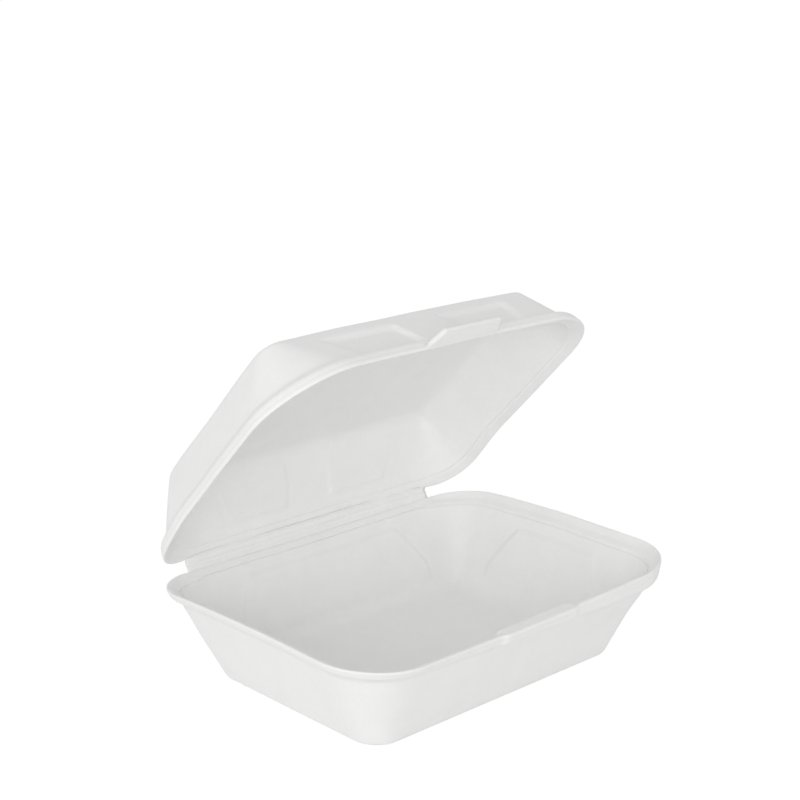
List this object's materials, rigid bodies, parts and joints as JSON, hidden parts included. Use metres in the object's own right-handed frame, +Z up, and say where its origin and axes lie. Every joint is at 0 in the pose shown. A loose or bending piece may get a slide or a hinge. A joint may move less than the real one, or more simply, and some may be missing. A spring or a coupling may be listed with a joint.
{
  "type": "foam clamshell container",
  "caption": "White foam takeaway box: a flanged tray with a shallow lid on a fold hinge along its back edge, drawn open, with a closing tab and ledge at the front.",
  "frame": {"origin": "centre of the base's flat underside", "axes": "+Z up, +X along the hinge, +Y towards the hinge at the back, so the closing tab is at -Y"},
  "size_m": [0.185, 0.1439, 0.1495],
  "materials": {
    "foam": "matte white extruded polystyrene foam sheet, faintly mottled"
  },
  "bodies": {
    "base": {"base_tray": "foam"},
    "lid": {"lid": "foam"}
  },
  "joints": [
    {"name": "lid_hinge", "type": "hinge", "parent": "base", "child": "lid", "pos_m": [0, 0.0682, 0.0386], "axis": [-1, 0, 0], "range_deg": [-49, 131]}
  ]
}
